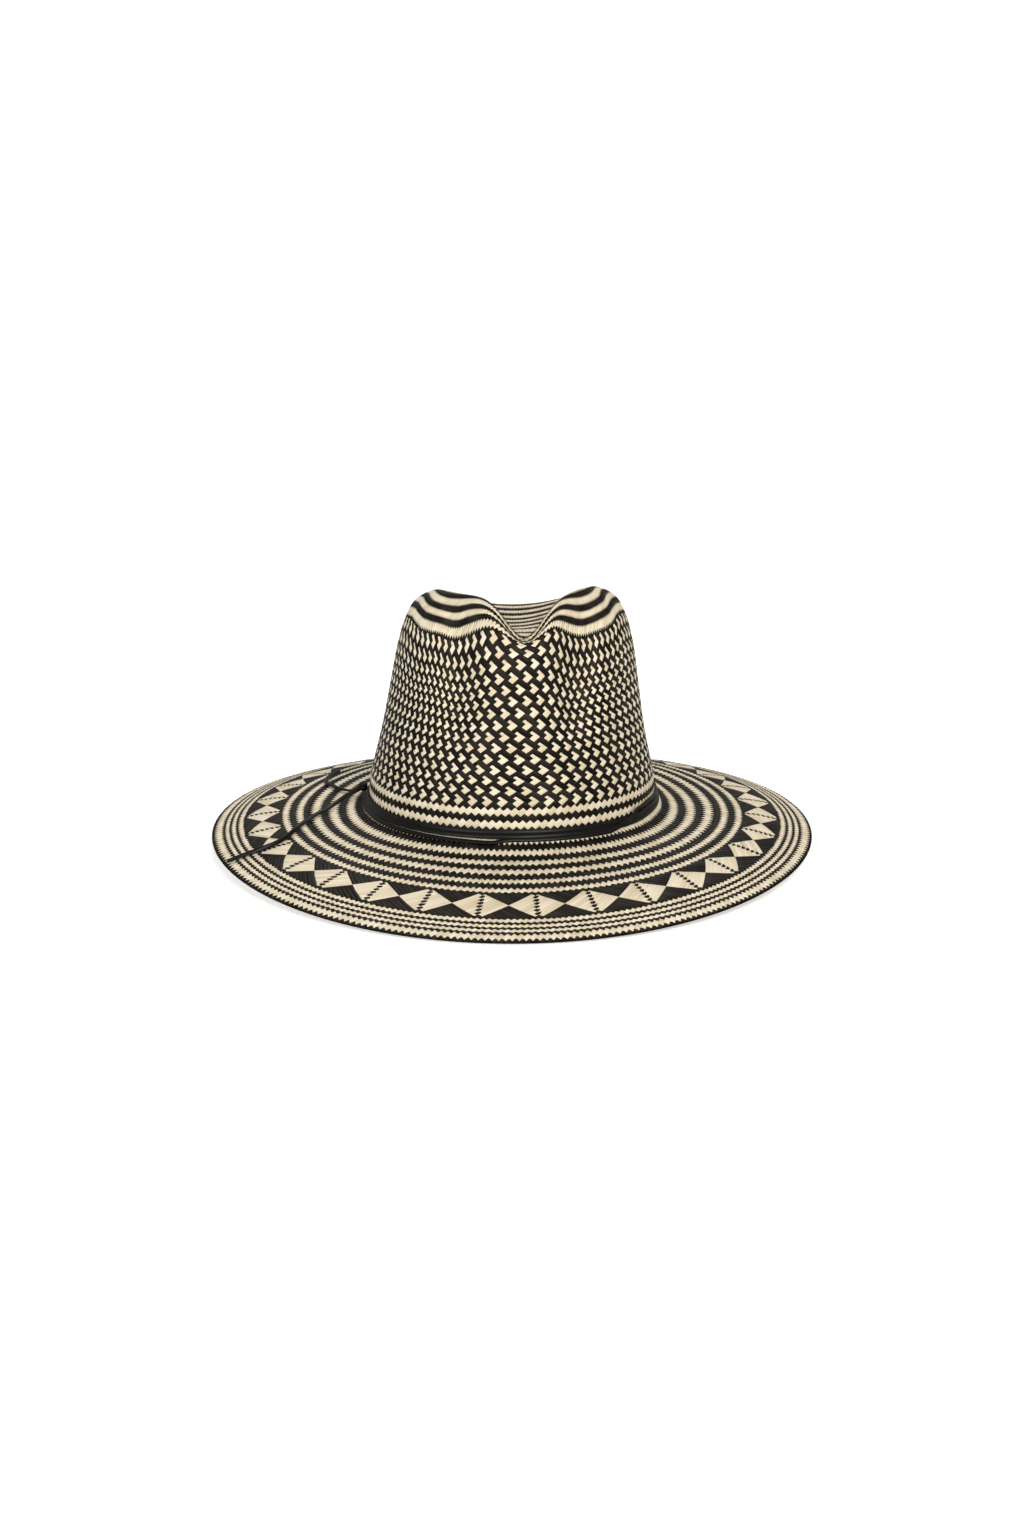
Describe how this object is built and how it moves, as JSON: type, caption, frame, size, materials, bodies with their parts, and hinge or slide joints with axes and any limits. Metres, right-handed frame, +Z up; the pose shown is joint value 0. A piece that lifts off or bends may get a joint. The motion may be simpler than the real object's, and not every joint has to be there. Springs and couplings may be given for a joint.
{
  "type": "woven straw safari hat with a wound leather lace",
  "caption": "Wide-brimmed woven straw hat with a centre dent and front pinches, and a thin leather lace wound round the crown and tied at its side with two free tails.",
  "frame": {"origin": "bottom centre of the woven body's box, on the surface that the brim's edge rests on", "axes": "+Z up through the crown, -Y towards the hat's front with its notch, +X to the right seen from the front"},
  "size_m": [0.3652, 0.3902, 0.1581],
  "materials": {
    "straw": "woven cream and black dyed straw, satin",
    "lace": "black dyed flat leather lace, satin"
  },
  "bodies": {
    "root": {"woven_body": "straw", "lace_band": "lace", "lace_knot": "lace", "lace_tail_long": "lace", "lace_tail_short": "lace"}
  },
  "joints": []
}
